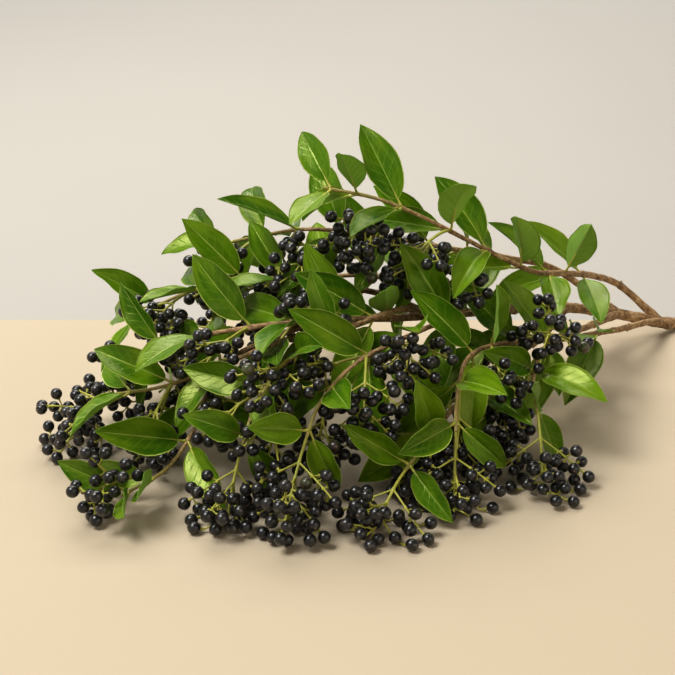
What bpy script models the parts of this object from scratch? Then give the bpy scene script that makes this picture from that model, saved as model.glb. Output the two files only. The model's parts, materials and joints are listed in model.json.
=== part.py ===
"""A cut branch of black-berried privet, lying on its side.

A woody main stem forks into leafy stems, with crossed pairs of pointed leaves and sprays of round berries.

X runs along the main stem towards its cut end, Z is up, and the branch rests on Z = 0.
"""

import math
import random
from dataclasses import dataclass, field

import bmesh
import bpy
import numpy as np
from mathutils import Matrix, Vector

# Sizes in millimetres and angles in degrees. The meshes are made in metres.
MM = 0.001
BERRY = 8.0                 # across a ripe berry
BERRY_CORNER = 4.25         # from the centre of a berry's solid to its corners
LEAF_LENGTH = 58.0          # the longest blade, without its petiole
LEAF_SHAPE = 0.46           # a blade's width over its length
LEAF_THICK = 0.66
PETIOLE = 5.0
INTERNODE = 34.0            # from one pair of leaves to the next
STEP = 2.0                  # from one point of a stem's centreline to the next
SEAT_GAP = 0.35             # between a stem's end and what grows on from it
CLEARANCE = 0.4             # between any two pieces
BOX_CENTRE = np.array([88.5, 16.8, 0.0])
HEART = np.array([70.0, 10.0, 20.0]) - BOX_CENTRE      # the leaves face away from this point
UP = np.array([0.0, 0.0, 1.0])
BRIGHT = np.array([-0.42, -0.73, 0.54])     # the side that the leaves turn their faces to

# Each stem: what it grows from and how far along that, its radius at root and tip, where its leaves
# begin, the roll of its last pair of leaves, whether it ends in berries, its side sprays (distance from
# the tip, roll), and its route.
STEMS = {
    "main_stem": dict(
        parent=None, fork=0, radii=(4.6, 2.7), leaves_from=999, seed=0, roll=0, end="stem", sprays=(),
        points=((366, 40, 4.0), (345, 41, 4.1), (318, 42, 9), (261, 42, 30), (196, 33, 50), (125, 17, 66),
                (58, 5, 80)),
    ),
    "leader_stem": dict(
        parent="main_stem", fork=999, radii=(2.6, 1.2), leaves_from=10, seed=39, roll=75, end="berries",
        sprays=((38, 70), (72, 0), (112, 60), (140, -70)),
        points=((5, 6, 88), (-38, 22, 88), (-73, 45, 80), (-98, 72, 66)),
    ),
    "top_stem": dict(
        parent="main_stem", fork=48, radii=(2.9, 1.0), leaves_from=95, seed=182, roll=40, end="leaves",
        sprays=((62, 85), (104, 50), (138, 60)),
        points=((285, 54, 42), (246, 42, 62), (196, 16, 82), (149, -6, 100), (98, -1, 130), (72, 6, 146),
                (41, 16, 162), (8, 26, 172)),
    ),
    "right_front_stem": dict(
        parent="main_stem", fork=48, radii=(2.7, 1.1), leaves_from=95, seed=571, roll=75, end="berries",
        sprays=((50, 140), (90, -65)),
        points=((290, 26, 21), (240, 2, 34), (190, -20, 48), (140, -40, 58), (112, -64, 52), (98, -88, 38)),
    ),
    "upper_left_stem": dict(
        parent="main_stem", fork=95, radii=(2.7, 1.0), leaves_from=125, seed=737, roll=60, end="leaves",
        sprays=((40, 10), (75, 60), (112, 25), (150, -15), (188, 10), (194, 150)),
        points=((230, 64, 62), (180, 52, 84), (120, 30, 108), (60, 34, 126), (18, 62, 132), (-6, 104, 118),
                (-20, 136, 104)),
    ),
    "front_middle_stem": dict(
        parent="main_stem", fork=95, radii=(2.7, 1.1), leaves_from=110, seed=404, roll=40, end="berries",
        sprays=((44, 85), (86, 15), (128, 150)),
        points=((225, 18, 34), (160, -16, 50), (100, -36, 66), (62, -58, 72), (40, -80, 60), (30, -94, 44)),
    ),
    "low_front_stem": dict(
        parent="main_stem", fork=155, radii=(2.4, 1.0), leaves_from=95, seed=740, roll=45, end="berries",
        sprays=((37, 75), (85, 165), (118, 145)),
        points=((175, 8, 40), (130, -14, 42), (80, -42, 44), (30, -74, 38), (-8, -96, 28)),
    ),
    "front_left_stem": dict(
        parent="main_stem", fork=215, radii=(2.4, 1.0), leaves_from=60, seed=144, roll=60, end="berries",
        sprays=((45, 100), (85, 10), (90, 175), (122, -30)),
        points=((90, -14, 82), (40, -32, 86), (-10, -42, 80), (-42, -52, 64), (-60, -66, 50)),
    ),
    "back_stem": dict(
        parent="main_stem", fork=215, radii=(2.4, 1.0), leaves_from=60, seed=128, roll=0, end="berries",
        sprays=((34, -55), (53, 95), (74, 95), (90, -35)),
        points=((105, 50, 76), (70, 84, 82), (30, 112, 74), (-8, 138, 54)),
    ),
    "left_front_stem": dict(
        parent="main_stem", fork=300, radii=(2.2, 1.0), leaves_from=60, seed=429, roll=65, end="berries",
        sprays=((36, 10), (45, 180), (77, -45)),
        points=((45, -6, 92), (5, -16, 93), (-40, -16, 82), (-70, -24, 62), (-90, -40, 42)),
    ),
    "back_left_stem": dict(
        parent="main_stem", fork=300, radii=(2.2, 1.0), leaves_from=60, seed=317, roll=15, end="leaves",
        sprays=((40, -15), (80, 180)),
        points=((48, 24, 92), (15, 44, 98), (-18, 78, 98), (-52, 112, 84), (-85, 138, 62)),
    ),
    "left_stem": dict(
        parent="leader_stem", fork=50, radii=(2.0, 1.0), leaves_from=30, seed=730, roll=20, end="berries",
        sprays=((40, 45), (44, 100)),
        points=((-50, 4, 82), (-80, 18, 68), (-108, 38, 54), (-128, 58, 46)),
    ),
    "low_stem": dict(
        parent="leader_stem", fork=74, radii=(2.0, 1.0), leaves_from=35, seed=798, roll=45, end="leaves",
        sprays=((30, -90),),
        points=((-66, 34, 62), (-98, 8, 38), (-126, -6, 20), (-156, -10, 12)),
    ),
}

# A spray's stalk length, how much of it is bare, how far its branchlets reach, and the berries on each.
END_SPRAY = (60.0, 0.28, (33, 31, 26, 20, 13), (8, 7, 6, 5, 3))
SIDE_SPRAY = (48.0, 0.42, (28, 24, 18, 12), (7, 6, 5, 3))


@dataclass
class Leaf:
    base: np.ndarray
    along: np.ndarray       # from petiole to tip, at the blade's base
    up: np.ndarray          # square to the blade's upper face there
    length: float
    petiole: float
    fold: float             # how far each half rises from the midrib
    curl: float             # how far the midrib bends down from base to tip
    twist: float


@dataclass
class Berry:
    centre: np.ndarray
    foot: np.ndarray        # where its own stalk starts


@dataclass
class Branchlet:
    line: np.ndarray
    berries: list           # the first is at the branchlet's end


@dataclass
class Spray:
    name: str
    number: int
    line: np.ndarray
    form: tuple
    seat: int               # the first point of the line that is clear of the stem
    rng: random.Random
    branchlets: list = field(default_factory=list)


@dataclass
class Stem:
    name: str
    number: int
    line: np.ndarray
    radii: np.ndarray
    seat: int
    parent: str
    leaf_nodes: list
    leaves: list = field(default_factory=list)
    sprays: list = field(default_factory=list)


def unit(v):
    return v / np.linalg.norm(v)


def turned(v, axis, degrees):
    """The vector turned about a unit axis."""
    a = math.radians(degrees)
    return v * math.cos(a) + np.cross(axis, v) * math.sin(a) + axis * (axis @ v) * (1 - math.cos(a))


def side_of(heading, roll):
    """A direction square to the heading: roll 0 is level, and 90 is down."""
    return turned(unit(np.cross(UP, heading)), heading, -roll)


def smooth(points, step):
    """A Catmull-Rom curve through the points, read at even steps."""
    p = np.array([2 * points[0] - points[1], *points, 2 * points[-1] - points[-2]])
    t = np.linspace(0, 1, 16, endpoint=False)[:, None]
    parts = [
        0.5 * (2 * b + (c - a) * t + (2 * a - 5 * b + 4 * c - d) * t**2 + (3 * b - a - 3 * c + d) * t**3)
        for a, b, c, d in zip(p, p[1:], p[2:], p[3:])
    ]
    fine = np.vstack([*parts, points[-1]])
    along = np.concatenate([[0], np.cumsum(np.linalg.norm(np.diff(fine, axis=0), axis=1))])
    at = np.linspace(0, along[-1], round(along[-1] / step) + 1)
    return np.stack([np.interp(at, along, fine[:, k]) for k in range(3)], axis=1)


class Crowd:
    """Everything that has grown so far, as balls with their owners, sorted into cells."""

    CELL = 10.0     # more than the reach between any two balls

    def __init__(self):
        self.cells = {}
        self.owned = {}

    def add(self, centres, radius, owner):
        centres = np.atleast_2d(centres)
        self.owned.setdefault(owner, []).extend(centres)
        places = np.floor(centres / self.CELL).astype(int)
        for place, centre, size in zip(places, centres, np.broadcast_to(radius, len(centres))):
            self.cells.setdefault(tuple(place), []).append((*centre, size, owner))

    def clear(self, centres, radius, skip):
        """Whether balls at these centres would keep clear of every owner that isn't skipped."""
        centres = np.atleast_2d(centres)
        places = {tuple(place) for place in np.floor(centres / self.CELL).astype(int)}
        around = {
            (i + di, j + dj, k + dk)
            for i, j, k in places for di in (-1, 0, 1) for dj in (-1, 0, 1) for dk in (-1, 0, 1)
        }
        near = [ball for cell in around for ball in self.cells.get(cell, ()) if ball[4] not in skip]
        if not near:
            return True
        near = np.array(near)
        apart = np.linalg.norm(centres[:, None] - near[:, :3], axis=2)
        return bool((apart > radius + near[:, 3] + CLEARANCE).all())


# Owners: a stem's number, LEAVES, and a spray's number from STALKS and from BERRIES.
LEAVES = 1000
STALKS = 2000
BERRIES = 3000


def leaf_outline(s):
    """Half a blade's width, 1 at the widest, where s runs from 0 at the petiole to 1 at the tip."""
    s = np.clip(s, 0, 1)
    return s**0.72 * (1 - s) ** 0.98 / 0.3135


def leaf_points(leaf, s, t):
    """Points of the blade's middle surface, for t from -1 to 1 across it. s below 0 is on the petiole."""
    s = np.asarray(s, float)
    t = np.asarray(t, float)
    on = np.maximum(s, 0)
    bend = np.radians(leaf.curl) * on
    turn = np.radians(leaf.twist) * on
    arc = leaf.length / np.radians(leaf.curl)
    run = leaf.petiole + leaf.length * np.minimum(s, 0) + arc * np.sin(bend)
    drop = arc * (1 - np.cos(bend))
    side = np.cross(leaf.up, leaf.along)
    up = np.cos(bend)[..., None] * leaf.up + np.sin(bend)[..., None] * leaf.along
    across = np.cos(turn)[..., None] * side + np.sin(turn)[..., None] * up
    rise = np.cos(turn)[..., None] * up - np.sin(turn)[..., None] * side
    half = leaf.length * LEAF_SHAPE / 2 * leaf_outline(on)
    wide = (half * t * math.cos(math.radians(leaf.fold)))[..., None]
    high = (half * np.abs(t) ** 1.3 * math.sin(math.radians(leaf.fold)))[..., None]
    points = leaf.base + run[..., None] * leaf.along - drop[..., None] * leaf.up + wide * across + high * rise
    points[..., 2] = np.maximum(points[..., 2], 0.7)
    return points


LEAF_GRID = np.meshgrid(np.linspace(-0.06, 1, 19), np.linspace(-1, 1, 7), indexing="ij")
LEAF_BALL = 1.5


def seat_of(line, radius, parent):
    """The first point of a side line that is clear of the stem it grows from."""
    for index, point in enumerate(line):
        apart = np.linalg.norm(parent.line - point, axis=1)
        nearest = apart.argmin()
        if apart[nearest] > parent.radii[nearest] + radius + 1.0:
            return index
    return len(line) - 2


def grow_stem(name, number, stems):
    said = STEMS[name]
    rng = random.Random(said["seed"])
    points = [np.array(p, float) - BOX_CENTRE for p in said["points"]]
    parent = stems.get(said["parent"])
    goes_on = parent is not None and said["fork"] >= len(parent.line) * STEP
    if parent is not None:
        points.insert(0, parent.line[-1] if goes_on else parent.line[round(said["fork"] / STEP)])
    line = smooth(points, STEP)
    radii = np.linspace(*said["radii"], len(line))
    seat = 0 if parent is None or goes_on else seat_of(line, radii[0], parent)
    last = len(line) - 1
    index = last - (1 if said["end"] == "leaves" else 3)
    leaf_nodes = []
    while index * STEP > said["leaves_from"]:
        leaf_nodes.append(index)
        gap = INTERNODE * rng.uniform(0.85, 1.15) * (0.55 if index == last - 1 else 1)
        index -= round(gap / STEP)
    return Stem(name, number, line, radii, seat, said["parent"], leaf_nodes)


def try_leaf(stem, index, roll, rng, size, wander):
    ahead = stem.line[min(index + 3, len(stem.line) - 1)]
    heading = unit(ahead - stem.line[index - 3])
    out = side_of(heading, roll)
    spread = math.radians(rng.uniform(38, 62) + wander * rng.uniform(-20, 25))
    lift = rng.uniform(0.0, 0.35) + wander * rng.uniform(-0.3, 0.4)
    along = unit(math.cos(spread) * heading + math.sin(spread) * out + lift * UP)
    facing = unit(heading - (heading @ along) * along)
    light = 0.8 * unit(stem.line[index] - HEART) + 0.6 * UP + BRIGHT
    light = unit(light - (light @ along) * along)
    return Leaf(
        base=stem.line[index],
        along=along,
        up=unit(0.45 * facing + 1.4 * light),
        length=LEAF_LENGTH * size * rng.uniform(0.88, 1.0),
        petiole=stem.radii[index] + PETIOLE,
        fold=rng.uniform(14, 36),
        curl=rng.uniform(5, 44),
        twist=rng.uniform(-24, 24),
    )


def grow_leaves(stem, crowd):
    """Opposite pairs, each crosswise to the last. A leaf turns aside and shrinks until it finds room."""
    rng = random.Random(STEMS[stem.name]["seed"] + 100)
    last = len(stem.line) - 1
    for pair, index in enumerate(stem.leaf_nodes):
        size = min(1.0, 0.78 + (last - index) * STEP / 220)
        for side in (0, 180):
            for attempt in range(60):
                wander = attempt / 60
                roll = STEMS[stem.name]["roll"] + 90 * pair + side + rng.uniform(-1, 1) * (5 + 110 * wander)
                leaf = try_leaf(stem, index, roll, rng, size * (1 - 0.3 * wander), wander)
                points = leaf_points(leaf, *LEAF_GRID).reshape(-1, 3)
                midrib = points[3::14]
                if (points[:, 2] < 0.8).mean() > 0.2 * wander:
                    continue
                if not crowd.clear(midrib, LEAF_BALL, [stem.number]):
                    continue
                if crowd.clear(points, LEAF_BALL, [stem.number]):
                    crowd.add(points, LEAF_BALL, LEAVES)
                    stem.leaves.append(leaf)
                    break


def stalk_line(root, heading, length, sag):
    """A spray's stalk, which sags under its berries and lies along the surface where it comes down to it."""
    line = [root]
    for _ in range(round(length / 4)):
        heading = unit(heading - sag * UP)
        if line[-1][2] < 10 and heading[2] < 0:
            heading = unit(heading * [1, 1, 0.1])
        line.append(line[-1] + heading * 4)
    return smooth(line, STEP)


def grow_sprays(stem, count, crowd):
    said = STEMS[stem.name]
    rng = random.Random(said["seed"] + 200)
    last = len(stem.line) - 1
    tip_heading = unit(stem.line[-1] - stem.line[-4])
    spots = [(last, tip_heading, END_SPRAY)] if said["end"] == "berries" else []
    for from_tip, roll in said["sprays"]:
        index = min(stem.leaf_nodes, key=lambda n: abs((last - n) * STEP - from_tip)) + 1
        ahead = unit(stem.line[index + 2] - stem.line[index - 3]) if index + 2 <= last else tip_heading
        spots.append((index, unit(0.8 * ahead + 0.8 * side_of(ahead, roll) + 0.1 * UP), SIDE_SPRAY))
    for index, heading, form in spots:
        line = stalk_line(stem.line[index], heading, form[0] * rng.uniform(0.9, 1.1), rng.uniform(0.05, 0.10))
        seat = 0 if form is END_SPRAY else seat_of(line, 0.9, stem)
        name = f"{stem.name.removesuffix('_stem')}_berries_{len(stem.sprays) + 1}"
        spray = Spray(name, count + len(stem.sprays), line, form, seat, rng)
        stem.sprays.append(spray)
        crowd.add(line[seat:], 1.3, STALKS + spray.number)


def rested(centre):
    """A berry's centre, no lower than where it rests on the surface."""
    return np.array([centre[0], centre[1], max(centre[2], BERRY_CORNER)])


def has_room(crowd, spray, centre):
    """Whether a berry here would be clear of the other pieces, and outside its own spray's berries."""
    own = crowd.owned.get(BERRIES + spray.number, [])
    if len(own) and np.linalg.norm(np.array(own) - centre, axis=1).min() < BERRY + 0.7:
        return False
    return crowd.clear(centre, BERRY_CORNER, [STALKS + spray.number, BERRIES + spray.number])


def grow_berry(spray, crowd, foot, heading, stalk):
    """A berry on its own short stalk, or None where there is no room."""
    rng = spray.rng
    for attempt in range(18):
        out = turned(heading, unit(np.cross(heading, UP + 0.01)), rng.uniform(-1, 1) * attempt * 6)
        out = turned(out, heading, rng.uniform(0, 360)) if attempt else out
        centre = rested(foot + out * (stalk + BERRY / 2))
        if has_room(crowd, spray, centre):
            crowd.add(centre, BERRY_CORNER, BERRIES + spray.number)
            return Berry(centre, foot)
    return None


def grow_branchlet(spray, crowd, index, heading, roll, reach, count):
    rng = spray.rng
    root = spray.line[index]
    for attempt in range(24):
        out = side_of(heading, roll + rng.uniform(-1, 1) * attempt * 5)
        way = unit(rng.uniform(0.4, 0.7) * heading + 0.9 * out - 0.10 * UP)
        size = reach * rng.uniform(0.85, 1.1) * (1 - 0.02 * attempt)
        line = np.array([root + way * size * k - UP * 2.2 * k * k for k in np.linspace(0, 1, 6)])
        line[:, 2] = np.maximum(line[:, 2], 1.2)
        end = rested(line[-1] + unit(line[-1] - line[-2]) * BERRY / 2)
        if crowd.clear(line[2:], 0.7, [STALKS + spray.number]) and has_room(crowd, spray, end):
            break
    else:
        return
    crowd.add(line[1:], 0.7, STALKS + spray.number)
    crowd.add(end, BERRY_CORNER, BERRIES + spray.number)
    berries = [Berry(end, line[-2])]
    way = unit(line[-1] - line[0])
    for k in range(count - 1):
        share = (0.4 + 0.52 * (k // 2) / max(1, (count - 2) // 2)) * 5
        foot = line[int(share)] * (1 - share % 1) + line[int(share) + 1] * (share % 1)
        sideways = turned(side_of(way, 0), way, 180 * (k % 2) + 90 * (k // 2) + rng.uniform(-25, 25))
        berries.append(grow_berry(spray, crowd, foot, unit(0.4 * way + sideways), rng.uniform(2.5, 5.5)))
    spray.branchlets.append(Branchlet(line, [berry for berry in berries if berry]))


def grow_berries(spray, crowd):
    """Opposite pairs of branchlets, each pair crosswise to the last, and one berry at the stalk's own end."""
    _, bare, reaches, counts = spray.form
    last = len(spray.line) - 1
    for n, (share, reach, count) in enumerate(zip(np.linspace(bare, 0.94, len(reaches)), reaches, counts)):
        index = round(share * last)
        heading = unit(spray.line[min(index + 2, last)] - spray.line[index - 2])
        for side in (0, 180):
            roll = 90 * n + side + spray.rng.uniform(-12, 12)
            grow_branchlet(spray, crowd, index, heading, roll, reach, count)
    heading = unit(spray.line[-1] - spray.line[-3])
    berry = grow_berry(spray, crowd, spray.line[-1], heading, 1.0)
    if berry:
        spray.branchlets.append(Branchlet(spray.line[-2:], [berry]))


def grow_branch():
    """All stems first, then the sprays' stalks, the leaves, and last the berries in the room that is left."""
    stems = {}
    crowd = Crowd()
    for number, name in enumerate(STEMS):
        stems[name] = grow_stem(name, number, stems)
        crowd.add(stems[name].line, stems[name].radii + 0.3, number)
    for stem in stems.values():
        grow_sprays(stem, sum(len(s.sprays) for s in stems.values()), crowd)
    for stem in stems.values():
        grow_leaves(stem, crowd)
    for stem in stems.values():
        for spray in stem.sprays:
            grow_berries(spray, crowd)
    return stems


def clear_scene():
    for obj in list(bpy.data.objects):
        bpy.data.objects.remove(obj)


def new_collection(name):
    collection = bpy.data.collections.new(name)
    bpy.context.scene.collection.children.link(collection)
    return collection


def new_material(name, color, roughness):
    material = bpy.data.materials.new(name)
    material.use_nodes = True
    principled = material.node_tree.nodes["Principled BSDF"]
    principled.inputs["Base Color"].default_value = (*color, 1)
    principled.inputs["Roughness"].default_value = roughness
    material.diffuse_color = (*color, 1)
    return material


def new_object(name, mesh, collection):
    obj = bpy.data.objects.new(name, mesh)
    collection.objects.link(obj)
    return obj


def picks_of(line, stride):
    return sorted({*range(0, len(line) - 1 - stride // 2, stride), len(line) - 1})


def nearest_on(corners, point):
    """The nearest point to this one on the straight pieces between the corners."""
    found = []
    for a, b in zip(corners, corners[1:]):
        share = np.clip((point - a) @ (b - a) / ((b - a) @ (b - a)), 0, 1)
        found.append(a + share * (b - a))
    return min(found, key=lambda spot: np.linalg.norm(spot - point))


def tube(name, line, radii, stride, sides, collection):
    """A round stem along a line, with a point every stride steps, as a mesh with welded ends."""
    picks = picks_of(line, stride)
    curve = bpy.data.curves.new(name, "CURVE")
    curve.dimensions = "3D"
    curve.bevel_depth = MM
    curve.bevel_resolution = sides // 2 - 2
    curve.use_fill_caps = True
    spline = curve.splines.new("POLY")
    spline.points.add(len(picks) - 1)
    for point, index in zip(spline.points, picks):
        point.co = (*(line[index] * MM), 1)
        point.radius = radii[index]
    guide = new_object(name, curve, collection)
    bpy.context.view_layer.update()
    mesh = bpy.data.meshes.new_from_object(guide.evaluated_get(bpy.context.evaluated_depsgraph_get()))
    bpy.data.objects.remove(guide)
    bm = bmesh.new()
    bm.from_mesh(mesh)
    bmesh.ops.remove_doubles(bm, verts=bm.verts, dist=1e-6)
    bmesh.ops.recalc_face_normals(bm, faces=bm.faces)
    bm.to_mesh(mesh)
    bm.free()
    return new_object(name, mesh, collection)


def stalk(name, start, end, radius, collection):
    """A straight three-sided stalk from start to end."""
    start = Vector(start * MM)
    end = Vector(end * MM)
    turn = (end - start).to_track_quat("Z", "Y").to_matrix().to_4x4()
    bm = bmesh.new()
    bmesh.ops.create_cone(
        bm, cap_ends=True, segments=3, radius1=radius * 1.1 * MM, radius2=radius * MM,
        depth=(end - start).length, matrix=Matrix.Translation((start + end) / 2) @ turn,
    )
    mesh = bpy.data.meshes.new(name)
    bm.to_mesh(mesh)
    bm.free()
    return new_object(name, mesh, collection)


def berry_solid(name, centre, way, collection):
    """A berry, turned so that a stalk that runs this way enters in the middle of a face."""
    bm = bmesh.new()
    bmesh.ops.create_icosphere(bm, subdivisions=1, radius=BERRY_CORNER * MM)
    bm.faces.ensure_lookup_table()
    turn = bm.faces[0].normal.rotation_difference(Vector(-way))
    bmesh.ops.transform(
        bm, matrix=Matrix.Translation(centre * MM) @ turn.to_matrix().to_4x4(), verts=bm.verts,
    )
    mesh = bpy.data.meshes.new(name)
    bm.to_mesh(mesh)
    bm.free()
    return new_object(name, mesh, collection)


# The rows of points that a leaf's solid is lofted through: how far along, and how many across.
LEAF_ROWS = ((-1, 2), (0.0, 2), (0.27, 3), (0.64, 3), (1.0, 1))


def leaf_rows(leaf):
    """The blade's middle surface and its normals, row by row. The first row is on the stem's centreline."""
    rows = []
    for s, count in LEAF_ROWS:
        t = np.linspace(-1, 1, count) if count > 1 else np.zeros(1)
        if s <= 0:
            side = 0.9 * np.cross(leaf.up, leaf.along)
            middle = leaf.base + leaf.petiole * (1 + s) * leaf.along
            rows.append((middle + t[:, None] * side, np.tile(leaf.up, (count, 1))))
            continue
        near = np.full(count, min(s, 0.97))
        ahead = leaf_points(leaf, near + 0.02, t * 0.9) - leaf_points(leaf, near - 0.02, t * 0.9)
        across = leaf_points(leaf, near, t * 0.9 + 0.1) - leaf_points(leaf, near, t * 0.9 - 0.1)
        normals = np.cross(ahead, across)
        normals /= np.linalg.norm(normals, axis=1)[:, None]
        rows.append((leaf_points(leaf, np.full(count, s), t), normals))
    return rows


def leaf_solid(name, leaf, collection):
    """A thin closed blade: two faces with the same triangles, joined round the rim."""
    bm = bmesh.new()
    faces = []
    for sign in (1, -1):
        faces.append([
            [bm.verts.new((p + n * sign * LEAF_THICK / 2) * MM) for p, n in zip(points, normals)]
            for points, normals in leaf_rows(leaf)
        ])
    triangles = []
    for row, (upper, lower) in enumerate(zip(faces[0], faces[0][1:])):
        triangles += [[(row + r, k) for r, k in corner] for corner in strip(len(upper), len(lower))]
    for corners in triangles:
        bm.faces.new([faces[0][r][k] for r, k in corners])
        bm.faces.new([faces[1][r][k] for r, k in reversed(corners)])
    last = len(LEAF_ROWS) - 1
    rim = [(r, 0) for r in range(last + 1)] + [(r, LEAF_ROWS[r][1] - 1) for r in range(last - 1, -1, -1)]
    for (r1, k1), (r2, k2) in zip(rim, rim[1:] + rim[:1]):
        bm.faces.new((faces[0][r1][k1], faces[0][r2][k2], faces[1][r2][k2]))
        bm.faces.new((faces[0][r1][k1], faces[1][r2][k2], faces[1][r1][k1]))
    bmesh.ops.recalc_face_normals(bm, faces=bm.faces)
    mesh = bpy.data.meshes.new(name)
    bm.to_mesh(mesh)
    bm.free()
    return new_object(name, mesh, collection)


def strip(near, far):
    """The triangles between two rows, as (row, place) corners, fanned out from the middle."""
    if near == far == 2:
        return [((0, 0), (1, 0), (1, 1)), ((0, 0), (1, 1), (0, 1))]
    if near == 2:
        return [((0, 0), (1, 0), (1, 1)), ((0, 0), (1, 1), (0, 1)), ((0, 1), (1, 1), (1, 2))]
    if far == 1:
        return [((0, 0), (1, 0), (0, 1)), ((0, 1), (1, 0), (0, 2))]
    return [
        ((0, 0), (1, 0), (0, 1)), ((1, 0), (1, 1), (0, 1)),
        ((0, 1), (1, 1), (1, 2)), ((0, 1), (1, 2), (0, 2)),
    ]


def joined(name, pieces, collection, material, root):
    """One closed solid from pieces that run into each other."""
    base, others = pieces[0], pieces[1:]
    if others:
        group = new_collection(f"{name} pieces")
        for piece in others:
            collection.objects.unlink(piece)
            group.objects.link(piece)
        union = base.modifiers.new("union", "BOOLEAN")
        union.operation = "UNION"
        union.operand_type = "COLLECTION"
        union.collection = group
        union.solver = "EXACT"
        bpy.context.view_layer.update()
        mesh = bpy.data.meshes.new_from_object(base.evaluated_get(bpy.context.evaluated_depsgraph_get()))
        bpy.data.objects.remove(base)
        for piece in others:
            bpy.data.objects.remove(piece)
        bpy.data.collections.remove(group)
        base = new_object(name, mesh, collection)
    base.name = name
    base.data.materials.clear()
    base.data.materials.append(material)
    base.parent = root
    return base


def fork_stub(line, seat, radius, sides, collection):
    """The first stretch of a side stem or spray, which belongs to the stem that it grows from."""
    end = line[seat] - unit(line[seat] - line[seat - 1]) * SEAT_GAP
    return tube("stub", np.array([line[0], end]), (radius, radius), 1, sides, collection)


def stem_pieces(stem, stems, collection):
    line = stem.line[stem.seat:]
    sides = 8 if stem.name == "main_stem" else 6
    if stem.name == "main_stem" or stem.sprays and stem.sprays[0].form is END_SPRAY:
        line = np.vstack([line[:-1], line[-1] - unit(line[-1] - line[-2]) * SEAT_GAP])
    pieces = [tube(stem.name, line, stem.radii[stem.seat:], 12, sides, collection)]
    for child in stems.values():
        if child.parent == stem.name and child.seat:
            pieces.append(fork_stub(child.line, child.seat, child.radii[0], 6, collection))
    for spray in stem.sprays:
        if spray.seat:
            pieces.append(fork_stub(spray.line, spray.seat, 0.9, 4, collection))
    pieces += [leaf_solid("leaf", leaf, collection) for leaf in stem.leaves]
    return pieces


def spray_pieces(spray, tip_radius, collection):
    """The stalk, every third branchlet with the berry at its end, and the berry at the stalk's own end."""
    line = spray.line[spray.seat:]
    radii = np.linspace(tip_radius, 0.7, len(line))
    stride = 15
    pieces = [tube(spray.name, line, radii, stride, 4, collection)]
    corners = line[picks_of(line, stride)]
    *sides, tip = spray.branchlets
    for branchlet in [*sides[::3], tip]:
        berry = branchlet.berries[0]
        root = nearest_on(corners, branchlet.line[0])
        way = unit(berry.centre - root)
        pieces.append(stalk("branchlet", root, berry.centre - way * 2.4, 0.6, collection))
        pieces.append(berry_solid("berry", berry.centre, way, collection))
    return pieces


def cut_flat_below(obj, collection):
    """The flat spot under the butt, where the stem's own weight rests."""
    bpy.ops.mesh.primitive_cube_add(size=1)
    ground = bpy.context.object
    ground.name = "ground"
    ground.scale = (1.2, 0.8, 0.1)
    ground.location = (0, 0, -0.05)
    for old in list(ground.users_collection):
        old.objects.unlink(ground)
    collection.objects.link(ground)
    ground.hide_render = True
    ground.display_type = "WIRE"
    flat = obj.modifiers.new("flat spot", "BOOLEAN")
    flat.operation = "DIFFERENCE"
    flat.object = ground


def build():
    clear_scene()
    parts = new_collection("black privet berry branch")
    cutters = new_collection("cutters")
    root = bpy.data.objects.new("branch", None)
    parts.objects.link(root)
    wood = new_material("bark", (0.20, 0.13, 0.085), 0.8)
    leaf = new_material("leaf", (0.075, 0.20, 0.03), 0.35)
    berry = new_material("berry", (0.012, 0.013, 0.025), 0.4)
    stems = grow_branch()
    for stem in stems.values():
        material = wood if stem.name == "main_stem" else leaf
        node = joined(stem.name, stem_pieces(stem, stems, parts), parts, material, root)
        if stem.name == "main_stem":
            cut_flat_below(node, cutters)
        for spray in stem.sprays:
            radius = stem.radii[-1] if spray.form is END_SPRAY else 0.9
            joined(spray.name, spray_pieces(spray, radius, parts), parts, berry, root)


build()
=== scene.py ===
"""How a cut branch of black-berried privet looks: its bark, leaves, stalks and berries."""

import json
import math
import random
from dataclasses import dataclass, field

import bpy
import numpy as np
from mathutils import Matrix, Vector

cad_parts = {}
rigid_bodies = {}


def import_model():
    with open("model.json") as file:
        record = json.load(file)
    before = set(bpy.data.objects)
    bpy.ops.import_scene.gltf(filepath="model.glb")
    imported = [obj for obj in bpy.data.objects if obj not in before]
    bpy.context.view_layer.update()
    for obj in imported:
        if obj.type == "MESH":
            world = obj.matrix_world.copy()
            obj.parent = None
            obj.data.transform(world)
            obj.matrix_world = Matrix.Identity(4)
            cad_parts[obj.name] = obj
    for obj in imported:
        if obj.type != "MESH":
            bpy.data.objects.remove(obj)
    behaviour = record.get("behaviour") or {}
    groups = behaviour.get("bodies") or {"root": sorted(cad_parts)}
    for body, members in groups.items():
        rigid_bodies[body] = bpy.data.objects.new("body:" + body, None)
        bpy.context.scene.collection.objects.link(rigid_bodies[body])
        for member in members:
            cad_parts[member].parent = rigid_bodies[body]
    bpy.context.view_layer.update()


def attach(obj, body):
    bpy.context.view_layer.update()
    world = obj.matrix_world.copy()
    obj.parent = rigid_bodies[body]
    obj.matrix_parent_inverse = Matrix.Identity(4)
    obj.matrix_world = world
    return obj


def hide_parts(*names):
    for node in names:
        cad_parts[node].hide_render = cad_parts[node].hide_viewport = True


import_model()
scene = bpy.context.scene


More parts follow.
